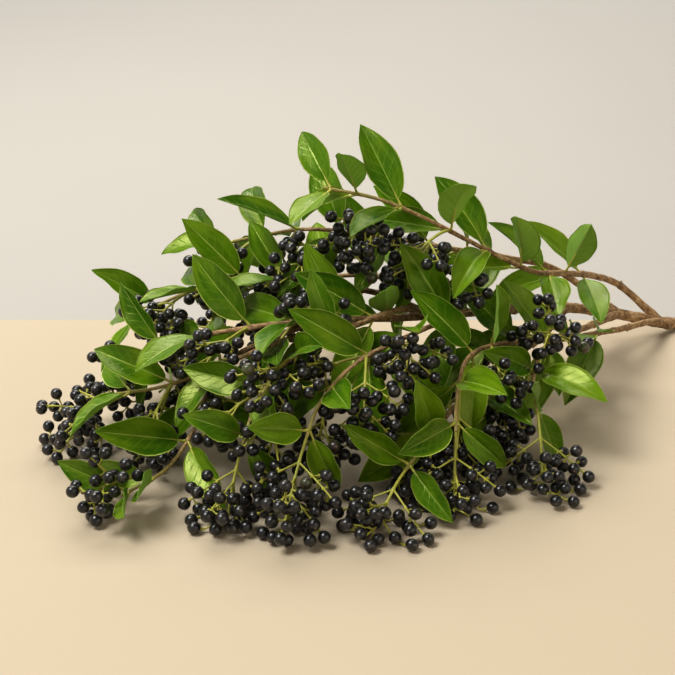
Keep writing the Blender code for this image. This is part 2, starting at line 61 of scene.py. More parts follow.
# Sizes in millimetres and angles in degrees. The meshes are made in metres.
MM = 0.001
BERRY = 8.0  # across a ripe berry
BERRY_CORNER = 4.25  # from the centre of a berry's solid to its corners
LEAF_LENGTH = 58.0  # the longest blade, without its petiole
LEAF_SHAPE = 0.46  # a blade's width over its length
PETIOLE = 5.0
INTERNODE = 34.0  # from one pair of leaves to the next
STEP = 2.0  # from one point of a stem's centreline to the next
CLEARANCE = 0.4  # between any two pieces
BOX_CENTRE = np.array([88.5, 16.8, 0.0])
HEART = np.array([70.0, 10.0, 20.0]) - BOX_CENTRE  # the leaves face away from this point
UP = np.array([0.0, 0.0, 1.0])
BRIGHT = np.array([-0.42, -0.73, 0.54])  # the side that the leaves turn their faces to

# Each stem: what it grows from if not the main stem and how far along that, its radius at root and tip,
# where its leaves begin, the roll of its last pair of leaves, what it ends in if not berries, its side
# sprays (distance from the tip, roll), and its route.
STEMS = {
    "main_stem": dict(
        fork=0, radii=(4.6, 2.7), leaves_from=999, seed=0, roll=0, end="stem", sprays=(),
        points=((366, 40, 4.0), (345, 41, 4.1), (318, 42, 9), (261, 42, 30), (196, 33, 50), (125, 17, 66),
                (58, 5, 80)),
    ),
    "leader_stem": dict(
        fork=999, radii=(2.6, 1.2), leaves_from=10, seed=39, roll=75,
        sprays=((38, 70), (72, 0), (112, 60), (140, -70)),
        points=((5, 6, 88), (-38, 22, 88), (-73, 45, 80), (-98, 72, 66)),
    ),
    "top_stem": dict(
        fork=48, radii=(2.9, 1.0), leaves_from=95, seed=182, roll=40, end="leaves",
        sprays=((62, 85), (104, 50), (138, 60)),
        points=((285, 54, 42), (246, 42, 62), (196, 16, 82), (149, -6, 100), (98, -1, 130), (72, 6, 146),
                (41, 16, 162), (8, 26, 172)),
    ),
    "right_front_stem": dict(
        fork=48, radii=(2.7, 1.1), leaves_from=95, seed=571, roll=75,
        sprays=((50, 140), (90, -65)),
        points=((290, 26, 21), (240, 2, 34), (190, -20, 48), (140, -40, 58), (112, -64, 52), (98, -88, 38)),
    ),
    "upper_left_stem": dict(
        fork=95, radii=(2.7, 1.0), leaves_from=125, seed=737, roll=60, end="leaves",
        sprays=((40, 10), (75, 60), (112, 25), (150, -15), (188, 10), (194, 150)),
        points=((230, 64, 62), (180, 52, 84), (120, 30, 108), (60, 34, 126), (18, 62, 132), (-6, 104, 118),
                (-20, 136, 104)),
    ),
    "front_middle_stem": dict(
        fork=95, radii=(2.7, 1.1), leaves_from=110, seed=404, roll=40,
        sprays=((44, 85), (86, 15), (128, 150)),
        points=((225, 18, 34), (160, -16, 50), (100, -36, 66), (62, -58, 72), (40, -80, 60), (30, -94, 44)),
    ),
    "low_front_stem": dict(
        fork=155, radii=(2.4, 1.0), leaves_from=95, seed=740, roll=45,
        sprays=((37, 75), (85, 165), (118, 145)),
        points=((175, 8, 40), (130, -14, 42), (80, -42, 44), (30, -74, 38), (-8, -96, 28)),
    ),
    "front_left_stem": dict(
        fork=215, radii=(2.4, 1.0), leaves_from=60, seed=144, roll=60,
        sprays=((45, 100), (85, 10), (90, 175), (122, -30)),
        points=((90, -14, 82), (40, -32, 86), (-10, -42, 80), (-42, -52, 64), (-60, -66, 50)),
    ),
    "back_stem": dict(
        fork=215, radii=(2.4, 1.0), leaves_from=60, seed=128, roll=0,
        sprays=((34, -55), (53, 95), (74, 95), (90, -35)),
        points=((105, 50, 76), (70, 84, 82), (30, 112, 74), (-8, 138, 54)),
    ),
    "left_front_stem": dict(
        fork=300, radii=(2.2, 1.0), leaves_from=60, seed=429, roll=65,
        sprays=((36, 10), (45, 180), (77, -45)),
        points=((45, -6, 92), (5, -16, 93), (-40, -16, 82), (-70, -24, 62), (-90, -40, 42)),
    ),
    "back_left_stem": dict(
        fork=300, radii=(2.2, 1.0), leaves_from=60, seed=317, roll=15, end="leaves",
        sprays=((40, -15), (80, 180)),
        points=((48, 24, 92), (15, 44, 98), (-18, 78, 98), (-52, 112, 84), (-85, 138, 62)),
    ),
    "left_stem": dict(
        parent="leader_stem", fork=50, radii=(2.0, 1.0), leaves_from=30, seed=730, roll=20,
        sprays=((40, 45), (44, 100)),
        points=((-50, 4, 82), (-80, 18, 68), (-108, 38, 54), (-128, 58, 46)),
    ),
    "low_stem": dict(
        parent="leader_stem", fork=74, radii=(2.0, 1.0), leaves_from=35, seed=798, roll=45, end="leaves",
        sprays=((30, -90),),
        points=((-66, 34, 62), (-98, 8, 38), (-126, -6, 20), (-156, -10, 12)),
    ),
}

# A spray's stalk length, how much of it is bare, how far its branchlets reach, and the berries on each.
END_SPRAY = (60.0, 0.28, (33, 31, 26, 20, 13), (8, 7, 6, 5, 3))
SIDE_SPRAY = (48.0, 0.42, (28, 24, 18, 12), (7, 6, 5, 3))


@dataclass
class Leaf:
    base: np.ndarray
    along: np.ndarray  # from petiole to tip, at the blade's base
    up: np.ndarray  # square to the blade's upper face there
    length: float
    petiole: float
    fold: float  # how far each half rises from the midrib
    curl: float  # how far the midrib bends down from base to tip
    twist: float


@dataclass
class Berry:
    centre: np.ndarray
    foot: np.ndarray  # where its own stalk starts


@dataclass
class Branchlet:
    line: np.ndarray
    berries: list  # the first is at the branchlet's end


@dataclass
class Spray:
    name: str
    number: int
    line: np.ndarray
    form: tuple
    seat: int  # the first point of the line that is clear of the stem
    rng: random.Random
    branchlets: list = field(default_factory=list)


@dataclass
class Stem:
    name: str
    number: int
    line: np.ndarray
    radii: np.ndarray
    seat: int
    leaf_nodes: list
    leaves: list = field(default_factory=list)
    sprays: list = field(default_factory=list)


def unit(v):
    return v / np.linalg.norm(v)


def lengths(vectors):
    return np.linalg.norm(vectors, axis=-1)


def keep_above(points, height=0.0):
    """Lifts the points that would lie lower than this over the floor."""
    points[..., 2] = np.maximum(points[..., 2], height)


def turned(v, axis, degrees):
    """The vector turned about a unit axis."""
    a = math.radians(degrees)
    return v * math.cos(a) + np.cross(axis, v) * math.sin(a) + axis * (axis @ v) * (1 - math.cos(a))


def side_of(heading, roll):
    """A direction square to the heading: roll 0 is level, and 90 is down."""
    return turned(unit(np.cross(UP, heading)), heading, -roll)


def lengths_along(line):
    """How far along the line each of its points is."""
    return np.concatenate([[0], np.cumsum(lengths(np.diff(line, axis=0)))])


def smooth(points, step):
    """A Catmull-Rom curve through the points, read at even steps."""
    p = np.array([2 * points[0] - points[1], *points, 2 * points[-1] - points[-2]])
    t = np.linspace(0, 1, 16, endpoint=False)[:, None]
    parts = [
        0.5 * (2 * b + (c - a) * t + (2 * a - 5 * b + 4 * c - d) * t**2 + (3 * b - a - 3 * c + d) * t**3)
        for a, b, c, d in zip(p, p[1:], p[2:], p[3:])
    ]
    fine = np.vstack([*parts, points[-1]])
    along = lengths_along(fine)
    at = np.linspace(0, along[-1], round(along[-1] / step) + 1)
    return np.stack([np.interp(at, along, fine[:, k]) for k in range(3)], axis=1)


class Crowd:
    """Everything that has grown so far, as balls with their owners, sorted into cells."""

    CELL = 10.0  # more than the reach between any two balls

    def __init__(self):
        self.cells = {}
        self.owned = {}

    def add(self, centres, radius, owner):
        centres = np.atleast_2d(centres)
        self.owned.setdefault(owner, []).extend(centres)
        places = np.floor(centres / self.CELL).astype(int)
        for place, centre, size in zip(places, centres, np.broadcast_to(radius, len(centres))):
            self.cells.setdefault(tuple(place), []).append((*centre, size, owner))

    def clear(self, centres, radius, skip):
        """Whether balls at these centres would keep clear of every owner that isn't skipped."""
        centres = np.atleast_2d(centres)
        places = {tuple(place) for place in np.floor(centres / self.CELL).astype(int)}
        around = {
            (i + di, j + dj, k + dk)
            for i, j, k in places for di in (-1, 0, 1) for dj in (-1, 0, 1) for dk in (-1, 0, 1)
        }
        near = [ball for cell in around for ball in self.cells.get(cell, ()) if ball[4] not in skip]
        if not near:
            return True
        near = np.array(near)
        apart = lengths(centres[:, None] - near[:, :3])
        return bool((apart > radius + near[:, 3] + CLEARANCE).all())


# Owners: a stem's number, LEAVES, and a spray's number from STALKS and from BERRIES.
LEAVES, STALKS, BERRIES = 1000, 2000, 3000


def leaf_outline(s):
    """Half a blade's width, 1 at the widest, where s runs from 0 at the petiole to 1 at the tip."""
    return s**0.72 * (1 - s) ** 0.98 / 0.3135


def leaf_points(leaf, s, t):
    """Points of the blade's middle surface, for t from -1 to 1 across it. s below 0 is on the petiole."""
    s, t = s[..., None], t[..., None]
    on = np.maximum(s, 0)
    bend = np.radians(leaf.curl) * on
    turn = np.radians(leaf.twist) * on
    arc = leaf.length / np.radians(leaf.curl)
    run = leaf.petiole + leaf.length * np.minimum(s, 0) + arc * np.sin(bend)
    drop = arc * (1 - np.cos(bend))
    side = np.cross(leaf.up, leaf.along)
    up = np.cos(bend) * leaf.up + np.sin(bend) * leaf.along
    across = np.cos(turn) * side + np.sin(turn) * up
    rise = np.cos(turn) * up - np.sin(turn) * side
    half = leaf.length * LEAF_SHAPE / 2 * leaf_outline(on)
    wide = half * t * math.cos(math.radians(leaf.fold))
    high = half * np.abs(t) ** 1.3 * math.sin(math.radians(leaf.fold))
    points = leaf.base + run * leaf.along - drop * leaf.up + wide * across + high * rise
    keep_above(points, 0.7)
    return points


LEAF_GRID = np.meshgrid(np.linspace(-0.06, 1, 19), np.linspace(-1, 1, 7), indexing="ij")
LEAF_BALL = 1.5


def seat_of(line, radius, parent):
    """The first point of a side line that is clear of the stem it grows from."""
    for index, point in enumerate(line):
        apart = lengths(parent.line - point)
        nearest = apart.argmin()
        if apart[nearest] > parent.radii[nearest] + radius + 1.0:
            return index
    return len(line) - 2


def grow_stem(name, number, stems):
    said = STEMS[name]
    rng = random.Random(said["seed"])
    points = [np.array(p, float) - BOX_CENTRE for p in said["points"]]
    parent = stems.get(said.get("parent", "main_stem"))
    goes_on = parent and said["fork"] >= len(parent.line) * STEP
    if parent:
        points.insert(0, parent.line[-1] if goes_on else parent.line[round(said["fork"] / STEP)])
    line = smooth(points, STEP)
    radii = np.linspace(*said["radii"], len(line))
    seat = 0 if not parent or goes_on else seat_of(line, radii[0], parent)
    last = len(line) - 1
    index = last - (1 if said.get("end") == "leaves" else 3)
    leaf_nodes = []
    while index * STEP > said["leaves_from"]:
        leaf_nodes.append(index)
        gap = INTERNODE * rng.uniform(0.85, 1.15) * (0.55 if index == last - 1 else 1)
        index -= round(gap / STEP)
    return Stem(name, number, line, radii, seat, leaf_nodes)


def try_leaf(stem, index, roll, rng, size, wander):
    heading = unit(stem.line[min(index + 3, len(stem.line) - 1)] - stem.line[index - 3])
    out = side_of(heading, roll)
    spread = math.radians(rng.uniform(38, 62) + wander * rng.uniform(-20, 25))
    lift = rng.uniform(0.0, 0.35) + wander * rng.uniform(-0.3, 0.4)
    along = unit(math.cos(spread) * heading + math.sin(spread) * out + lift * UP)
    facing = unit(heading - (heading @ along) * along)
    light = 0.8 * unit(stem.line[index] - HEART) + 0.6 * UP + BRIGHT
    light = unit(light - (light @ along) * along)
    return Leaf(
        base=stem.line[index],
        along=along,
        up=unit(0.45 * facing + 1.4 * light),
        length=LEAF_LENGTH * size * rng.uniform(0.88, 1.0),
        petiole=stem.radii[index] + PETIOLE,
        fold=rng.uniform(14, 36),
        curl=rng.uniform(5, 44),
        twist=rng.uniform(-24, 24),
    )


def grow_leaves(stem, crowd):
    """Opposite pairs, each crosswise to the last. A leaf turns aside and shrinks until it finds room."""
    said = STEMS[stem.name]
    rng = random.Random(said["seed"] + 100)
    last = len(stem.line) - 1
    for pair, index in enumerate(stem.leaf_nodes):
        size = min(1.0, 0.78 + (last - index) * STEP / 220)
        for side in (0, 180):
            for attempt in range(60):
                wander = attempt / 60
                roll = said["roll"] + 90 * pair + side + rng.uniform(-1, 1) * (5 + 110 * wander)
                leaf = try_leaf(stem, index, roll, rng, size * (1 - 0.3 * wander), wander)
                points = leaf_points(leaf, *LEAF_GRID).reshape(-1, 3)
                midrib = points[3::14]
                if (points[:, 2] < 0.8).mean() > 0.2 * wander:
                    continue
                if not crowd.clear(midrib, LEAF_BALL, [stem.number]):
                    continue
                if crowd.clear(points, LEAF_BALL, [stem.number]):
                    crowd.add(points, LEAF_BALL, LEAVES)
                    stem.leaves.append(leaf)
                    break


def stalk_line(root, heading, length, sag):
    """A spray's stalk, which sags under its berries and lies along the surface where it comes down to it."""
    line = [root]
    for _ in range(round(length / 4)):
        heading = unit(heading - sag * UP)
        if line[-1][2] < 10 and heading[2] < 0:
            heading = unit(heading * [1, 1, 0.1])
        line.append(line[-1] + heading * 4)
    return smooth(line, STEP)


def grow_sprays(stem, count, crowd):
    said = STEMS[stem.name]
    rng = random.Random(said["seed"] + 200)
    last = len(stem.line) - 1
    tip_heading = unit(stem.line[-1] - stem.line[-4])
    spots = [(last, tip_heading, END_SPRAY)] if "end" not in said else []
    for from_tip, roll in said["sprays"]:
        index = min(stem.leaf_nodes, key=lambda n: abs((last - n) * STEP - from_tip)) + 1
        ahead = unit(stem.line[index + 2] - stem.line[index - 3]) if index + 2 <= last else tip_heading
        spots.append((index, unit(0.8 * ahead + 0.8 * side_of(ahead, roll) + 0.1 * UP), SIDE_SPRAY))
    for index, heading, form in spots:
        line = stalk_line(stem.line[index], heading, form[0] * rng.uniform(0.9, 1.1), rng.uniform(0.05, 0.10))
        seat = 0 if form is END_SPRAY else seat_of(line, 0.9, stem)
        name = f"{stem.name.removesuffix('_stem')}_berries_{len(stem.sprays) + 1}"
        spray = Spray(name, count + len(stem.sprays), line, form, seat, rng)
        stem.sprays.append(spray)
        crowd.add(line[seat:], 1.3, STALKS + spray.number)


def rested(centre):
    """A berry's centre, no lower than where it rests on the surface."""
    return np.array([centre[0], centre[1], max(centre[2], BERRY_CORNER)])


def has_room(crowd, spray, centre):
    """Whether a berry here would be clear of the other pieces, and outside its own spray's berries."""
    own = crowd.owned.get(BERRIES + spray.number, [])
    if own and lengths(np.array(own) - centre).min() < BERRY + 0.7:
        return False
    return crowd.clear(centre, BERRY_CORNER, [STALKS + spray.number, BERRIES + spray.number])


def grow_berry(spray, crowd, foot, heading, stalk):
    """A berry on its own short stalk, or None where there is no room."""
    rng = spray.rng
    for attempt in range(18):
        out = turned(heading, unit(np.cross(heading, UP + 0.01)), rng.uniform(-1, 1) * attempt * 6)
        out = turned(out, heading, rng.uniform(0, 360)) if attempt else out
        centre = rested(foot + out * (stalk + BERRY / 2))
        if has_room(crowd, spray, centre):
            crowd.add(centre, BERRY_CORNER, BERRIES + spray.number)
            return Berry(centre, foot)
    return None


def grow_branchlet(spray, crowd, index, heading, roll, reach, count):
    rng = spray.rng
    root = spray.line[index]
    for attempt in range(24):
        out = side_of(heading, roll + rng.uniform(-1, 1) * attempt * 5)
        way = unit(rng.uniform(0.4, 0.7) * heading + 0.9 * out - 0.10 * UP)
        size = reach * rng.uniform(0.85, 1.1) * (1 - 0.02 * attempt)
        line = np.array([root + way * size * k - UP * 2.2 * k * k for k in np.linspace(0, 1, 6)])
        keep_above(line, 1.2)
        end = rested(line[-1] + unit(line[-1] - line[-2]) * BERRY / 2)
        if crowd.clear(line[2:], 0.7, [STALKS + spray.number]) and has_room(crowd, spray, end):
            break
    else:
        return
    crowd.add(line[1:], 0.7, STALKS + spray.number)
    crowd.add(end, BERRY_CORNER, BERRIES + spray.number)
    berries = [Berry(end, line[-2])]
    way = unit(line[-1] - line[0])
    for k in range(count - 1):
        share = (0.4 + 0.52 * (k // 2) / max(1, (count - 2) // 2)) * 5
        foot = line[int(share)] * (1 - share % 1) + line[int(share) + 1] * (share % 1)
        sideways = turned(side_of(way, 0), way, 180 * (k % 2) + 90 * (k // 2) + rng.uniform(-25, 25))
        berries.append(grow_berry(spray, crowd, foot, unit(0.4 * way + sideways), rng.uniform(2.5, 5.5)))
    spray.branchlets.append(Branchlet(line, [berry for berry in berries if berry]))


def grow_berries(spray, crowd):
    """Opposite pairs of branchlets, each pair crosswise to the last, and one berry at the stalk's own end."""
    _, bare, reaches, counts = spray.form
    last = len(spray.line) - 1
    for n, (share, reach, count) in enumerate(zip(np.linspace(bare, 0.94, len(reaches)), reaches, counts)):
        index = round(share * last)
        heading = unit(spray.line[min(index + 2, last)] - spray.line[index - 2])
        for side in (0, 180):
            roll = 90 * n + side + spray.rng.uniform(-12, 12)
            grow_branchlet(spray, crowd, index, heading, roll, reach, count)
    heading = unit(spray.line[-1] - spray.line[-3])
    berry = grow_berry(spray, crowd, spray.line[-1], heading, 1.0)
    if berry:
        spray.branchlets.append(Branchlet(spray.line[-2:], [berry]))


def grow_branch():
    """All stems first, then the sprays' stalks, the leaves, and last the berries in the room that is left."""
    stems = {}
    crowd = Crowd()
    for number, name in enumerate(STEMS):
        stems[name] = grow_stem(name, number, stems)
        crowd.add(stems[name].line, stems[name].radii + 0.3, number)
    for stem in stems.values():
        grow_sprays(stem, sum(len(s.sprays) for s in stems.values()), crowd)
    for stem in stems.values():
        grow_leaves(stem, crowd)
    for stem in stems.values():
        for spray in stem.sprays:
            grow_berries(spray, crowd)
    return stems


# Fine surfaces. A share is of the radius, or of half a blade's width.

MAIN_SIDES, STEM_SIDES, STALK_SIDES = 24, 14, 9
SWELL, SCAR_SWELL = 0.10, 0.26  # at a pair of leaves: all round, and under each leaf, as shares
PINCH = 0.06  # how much a stem narrows just above them
FLARE = 0.35  # how much it widens where it leaves its parent
BUD_STEPS, BUD_RADII = np.c_[[0, 0.35, 0.7, 1.0, 1.25]], (1.0, 1.05, 0.8, 0.4, 0.08)
TIP_STEPS, TIP_RADII = np.c_[[-0.5, 0.8, 2.0, 3.2, 4.0]], (0.9, 1.2, 1.0, 0.55, 0.1)

BLADE_ROWS = (0.0, 0.03, 0.08, 0.15, 0.23, 0.32, 0.41, 0.5, 0.59, 0.68, 0.76, 0.83, 0.89, 0.94, 0.975, 1.0)
BLADE_COLUMNS = (-1, -0.86, -0.6, -0.32, -0.1, 0, 0.1, 0.32, 0.6, 0.86, 1)
BLADE_THICK, RIB_THICK = 0.34, 0.5  # and how much thicker it is along the midrib
RIB_WIDTH = 0.09  # as a share
RIB_DEPTH = 0.28  # how deep the midrib lies in the upper face
EDGE_WAVE, EDGE_WAVES = 0.75, 2.3  # how high the edge's waves are, and how many there are
PANEL = 0.22  # how far the panels between the side veins rise
VEIN_PAIRS = 7.5
YOUNG_LENGTH = 46.0  # a blade shorter than this is a young one
PETIOLE_RADII = (1.25, 1.0, 0.85, 0.8, 0.8, 0.8, 0.55, 0.3)

# A berry's outline from its stalk on: a slightly long ball, with a dimple and a small point at its tip.
BERRY_SIDES = 14
BERRY_ANGLES = np.radians([8, *range(22, 151, 16), 163, 172])
BERRY_RADII = np.concatenate([[0.02], np.sin(BERRY_ANGLES) * 3.93, [0.34, 0.2, 0.02]])
BERRY_HEIGHTS = np.concatenate([[-4.0], -np.cos(BERRY_ANGLES) * 4.02, [3.93, 4.2, 4.3]])
BERRY_FOOT = 3.95  # from a berry's centre to the end of its stalk
UNRIPE = 0.015  # the share of berries that aren't ripe yet
RIM_STEPS, RIM_RADII = np.c_[[-0.35, 0.12, 0.42]], (0.9, 1.45, 1.2)


def hump(at, centre, width):
    """1 at the centre, and fading out over the width on both sides."""
    return np.exp(-((at - centre) / width) ** 2)


def angles_round(sides):
    return np.linspace(0, 2 * math.pi, sides, endpoint=False)


def circle(first, second, angles):
    """Points round a unit circle in the plane of two directions."""
    return first * np.cos(angles)[:, None] + second * np.sin(angles)[:, None]


def new_object(name, data):
    obj = bpy.data.objects.new(name, data)
    scene.collection.objects.link(obj)
    return obj


class Shape:
    """Points, faces and the values that the materials read, gathered into one mesh."""

    NAMES = ("across", "along", "tint", "age")

    def __init__(self):
        self.points, self.faces, self.looks, self.values = [], [], [], []
        self.count = 0

    def add(self, points, faces, look=0, across=0.0, along=0.0, tint=0.5, age=0.5):
        points = points.reshape(-1, 3)
        size = len(points)
        self.points.append(points)
        self.faces += [tuple(i + self.count for i in face) for face in faces]
        self.looks += [look] * len(faces) if np.isscalar(look) else list(look)
        self.values.append(np.stack([np.broadcast_to(v, size) for v in (across, along, tint, age)], axis=1))
        self.count += size

    def finish(self, name, materials, node, slot):
        mesh = bpy.data.meshes.new(name)
        mesh.from_pydata(np.vstack(self.points) * MM, [], self.faces)
        for material in materials:
            mesh.materials.append(material)
        mesh.polygons.foreach_set("material_index", self.looks)
        mesh.polygons.foreach_set("use_smooth", [True] * len(self.faces))
        for word, values in zip(self.NAMES, np.vstack(self.values).T.astype(np.float32, "C")):
            mesh.attributes.new(word, "FLOAT", "POINT").data.foreach_set("value", values)
        mesh.update()
        obj = new_object(name, mesh)
        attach(obj, "root")
        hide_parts(node)


def grid_faces(rows, columns, wrap=False, turn=1):
    """The quads between the rows of a grid of points. turn -1 faces them the other way."""
    sides = [(c, (c + 1) % columns) for c in range(columns if wrap else columns - 1)]
    starts = range(0, (rows - 1) * columns, columns)
    return [(r + c, r + d, r + columns + d, r + columns + c)[::turn] for r in starts for c, d in sides]


def frames_along(line):
    """Two directions square to the line at each point, turning as little as they can."""
    tangents = np.gradient(line, axis=0)
    tangents /= lengths(tangents)[:, None]
    first = np.cross(tangents[0], UP if abs(tangents[0][2]) < 0.9 else (1.0, 0, 0))
    sides = [unit(first)]
    for tangent in tangents[1:]:
        sides.append(unit(sides[-1] - (sides[-1] @ tangent) * tangent))
    sides = np.array(sides)
    return sides, np.cross(tangents, sides)


def add_tube(shape, line, radii, sides, age, tint=0.5, look=0, bumps=0.0):
    """A round stem, closed at its ends. bumps is the share added to its radius at each point and side."""
    first, second = frames_along(line)
    angles = angles_round(sides)
    size = np.broadcast_to(radii, len(line))[:, None] * (1 + bumps)
    ring = circle(first[:, None], second[:, None], angles)
    points = line[:, None] + ring * np.broadcast_to(size, (len(line), sides))[..., None]
    last = (len(line) - 1) * sides
    ends = [tuple(range(sides))[::-1], tuple(range(last, last + sides))]
    shape.add(
        points, grid_faces(len(line), sides, wrap=True) + ends, look,
        across=np.tile(np.cos(angles), len(line)), along=np.repeat(lengths_along(line), sides), tint=tint,
        age=np.repeat(np.broadcast_to(age, len(line)), sides),
    )


def nodes_down(stem):
    """Where the stem's pairs of leaves are, and below them where pairs have fallen."""
    spots = list(stem.leaf_nodes)
    rng = random.Random(900 + stem.number)
    index = spots[-1] if spots else len(stem.line) - 8
    while index - INTERNODE / STEP > stem.seat + 4:
        index -= round(INTERNODE * rng.uniform(0.7, 1.0) / STEP)
        spots.append(index)
    return spots


def noise_along(rng, count, sides, rough, reach):
    """Slow bumps over a stem's surface, smoothed along it over this many points each way."""
    raw = rng.standard_normal((count + 2 * reach, sides))
    kernel = np.hanning(2 * reach + 1)
    kernel /= kernel.sum()
    raw = np.stack([np.convolve(raw[:, k], kernel, "valid") for k in range(sides)], axis=1)
    raw = (raw + np.roll(raw, 1, axis=1) + np.roll(raw, -1, axis=1)) / 3
    return rough * raw / (raw.std() + 1e-9)


def wood_age(radii):
    """0 where the bark is still green, at the thin tips, and 1 where it is brown."""
    return np.clip(radii - 0.90, 0, 1) ** 0.8


def add_wood(shape, stem):
    """The stem: swollen at each pair of leaves, knobbly, and flared where it leaves its parent."""
    rng = np.random.default_rng(40 + stem.number)
    is_main = stem.name == "main_stem"
    sides = MAIN_SIDES if is_main else STEM_SIDES
    at = np.arange(len(stem.line))
    bumps = noise_along(rng, len(at), sides, 0.035 if is_main else 0.03, 3)
    bumps += noise_along(rng, len(at), sides, 0.03, 12)
    for number, index in enumerate(nodes_down(stem)):
        paired = np.abs(np.cos(angles_round(sides) + number * math.pi / 2 + 0.6)) ** 4
        bumps += hump(at, index, 1.5)[:, None] * (SWELL + SCAR_SWELL * paired[None])
        bumps -= PINCH * hump(at, index + 0.8, 0.9)[:, None]
    if stem.seat:
        bumps += FLARE * np.exp(-np.maximum(at - stem.seat + 2, 0) / 3.0)[:, None]
    tint = rng.uniform(0.2, 0.8)
    add_tube(shape, stem.line, stem.radii, sides, wood_age(stem.radii), tint=tint, bumps=bumps)


def add_buds(shape, stem):
    """A small pointed bud above each fallen leaf's scar, and one at a leafy stem's tip."""
    rng = random.Random(300 + stem.number)
    spots = [i for i in nodes_down(stem) if i not in stem.leaf_nodes]
    for number, index in enumerate(spots):
        heading = unit(stem.line[index + 2] - stem.line[index - 2])
        for side in (0, 180):
            if rng.random() < 0.25:
                continue
            out = side_of(heading, 90 * number + side + rng.uniform(-15, 15))
            root = stem.line[index] + out * stem.radii[index] * 0.7
            way = unit(0.8 * heading + out)
            size = rng.uniform(1.6, 2.6)
            line = root + way * size * BUD_STEPS
            add_tube(shape, line, BUD_RADII, 7, 0.75, tint=rng.random())
    if STEMS[stem.name].get("end") == "leaves":
        heading = unit(stem.line[-1] - stem.line[-4])
        add_tube(shape, stem.line[-1] + heading * TIP_STEPS, TIP_RADII, 8, 0.1)


def blade_grid(leaf, rng):
    """The blade's upper face: a sunk midrib, slightly raised panels between the side veins, a waved edge."""
    ss, tt = np.meshgrid(BLADE_ROWS, BLADE_COLUMNS, indexing="ij")
    out = np.abs(tt)
    points = leaf_points(leaf, ss, tt)
    rows = np.gradient(points, axis=0)
    rows[-1] = rows[-2]
    columns = np.gradient(points, axis=1)
    columns[[0, -1]] = columns[[1, -2]]
    normals = np.cross(rows, columns)
    normals /= lengths(normals)[..., None] + 1e-12
    phase = rng.uniform(0, 2 * math.pi)
    room = np.sin(math.pi * ss) ** 0.5
    wave = EDGE_WAVE * out**2.2 * np.sin(2 * math.pi * EDGE_WAVES * ss + phase + np.sign(tt) * 0.9)
    panels = PANEL * np.cos(2 * math.pi * (VEIN_PAIRS * ss - 1.6 * out)) * (1 - out) * out**0.5
    rise = (wave + panels - RIB_DEPTH * hump(tt, 0, RIB_WIDTH)) * room
    points = points + normals * rise[..., None]
    keep_above(points, 0.35)
    return ss, tt, points, normals


def blade_border(rows, columns):
    """The grid's points round its edge, in order."""
    last = (rows - 1) * columns
    return [
        *range(0, last + 1, columns), *range(last + 1, last + columns),
        *range(last - 1, columns - 2, -columns), *range(columns - 2, 0, -1),
    ]


def add_leaf(shape, leaf, number):
    """A closed thin blade: 0 is its upper face's look, 1 its underside's, and its petiole has look 2."""
    rng = random.Random(7000 + number)
    tint = rng.random()
    ss, tt, points, normals = blade_grid(leaf, rng)
    rows, columns = ss.shape
    size = rows * columns
    thick = BLADE_THICK + RIB_THICK * hump(tt, 0, RIB_WIDTH) * (1 - ss) ** 0.6
    lower = points - normals * (thick * np.where(np.abs(tt) == 1, 0.7, 1))[..., None]
    keep_above(lower, 0.05)
    top = grid_faces(rows, columns, turn=-1)
    under = [tuple(i + size for i in face) for face in grid_faces(rows, columns)]
    border = blade_border(rows, columns)
    rim = [(a, b, b + size, a + size) for a, b in zip(border, border[1:] + border[:1])]
    shape.add(
        np.stack([points, lower]), top + under + rim,
        [0] * len(top) + [1] * (len(under) + len(rim)),
        across=np.tile(tt.ravel(), 2), along=np.tile(ss.ravel(), 2), tint=tint,
        age=max(0.0, 1 - leaf.length / YOUNG_LENGTH),
    )
    middle = columns // 2
    side = unit(np.cross(leaf.up, leaf.along))
    foot = leaf.base + leaf.along * (leaf.petiole - PETIOLE) * 0.6
    blade = points[1, middle] - leaf.up * 0.35
    bow = leaf.up * rng.uniform(-0.7, -0.2) + side * rng.uniform(-0.3, 0.3)
    line = [foot * (1 - k) + blade * k + bow * math.sin(math.pi * k) for k in np.linspace(0, 1, 6)]
    line = np.array([*line, points[3, middle] - leaf.up * 0.5, points[5, middle] - leaf.up * 0.55])
    keep_above(line, 0.6)
    add_tube(shape, line, PETIOLE_RADII, 8, 0.15, tint=tint, look=2)


